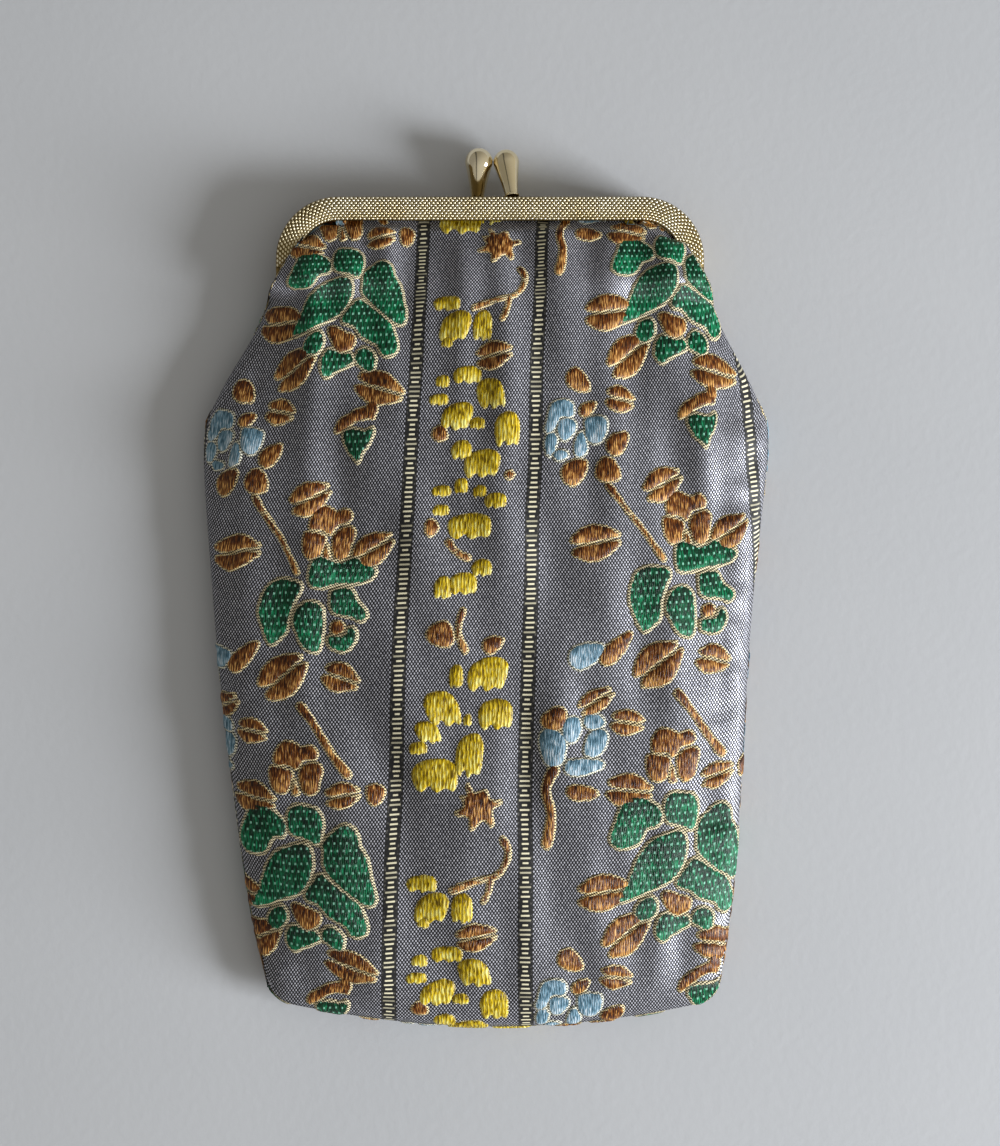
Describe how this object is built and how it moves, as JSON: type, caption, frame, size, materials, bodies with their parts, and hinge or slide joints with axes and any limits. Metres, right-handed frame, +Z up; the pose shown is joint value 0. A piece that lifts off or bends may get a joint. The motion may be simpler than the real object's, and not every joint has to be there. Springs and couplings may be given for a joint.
{
  "type": "kiss lock coin purse",
  "caption": "Tall floral brocade pouch with woven ladder stripes, held in a hinged gold metal frame that closes with two crossing ball knobs.",
  "frame": {"origin": "on the table under the middle of the closed purse lying on its back, half way between the sewn bottom and the knobs' tips", "axes": "+X to the right across the purse, +Y towards the clasp, +Z up, away from the table"},
  "size_m": [0.113, 0.1761, 0.0153],
  "materials": {
    "frame_metal": "pale gold plate, embossed all over with rows of fine dots",
    "bright_metal": "polished pale gold plate",
    "brocade": "silver and black brocade with coloured flower motifs and gold-edged ladder stripes",
    "lining": "plain satin-weave lining",
    "paper_cord": "twisted paper cord, pressed flat"
  },
  "bodies": {
    "back_half": {"rear_frame": "frame_metal", "left_hinge_rivet": "bright_metal", "right_hinge_rivet": "bright_metal", "rear_clasp_knob": "bright_metal", "rear_paper_cord": "paper_cord", "back_panel": "brocade", "back_lining": "lining", "front_panel": "brocade", "front_lining": "lining"},
    "front_half": {"front_frame": "frame_metal", "front_clasp_knob": "bright_metal", "front_paper_cord": "paper_cord"}
  },
  "joints": [
    {"name": "frame_hinge", "type": "hinge", "parent": "back_half", "child": "front_half", "pos_m": [0, 0.06055, 0.005], "axis": [1, 0, 0], "range_deg": [0, 100], "deforming": ["front_panel", "front_lining"]}
  ]
}
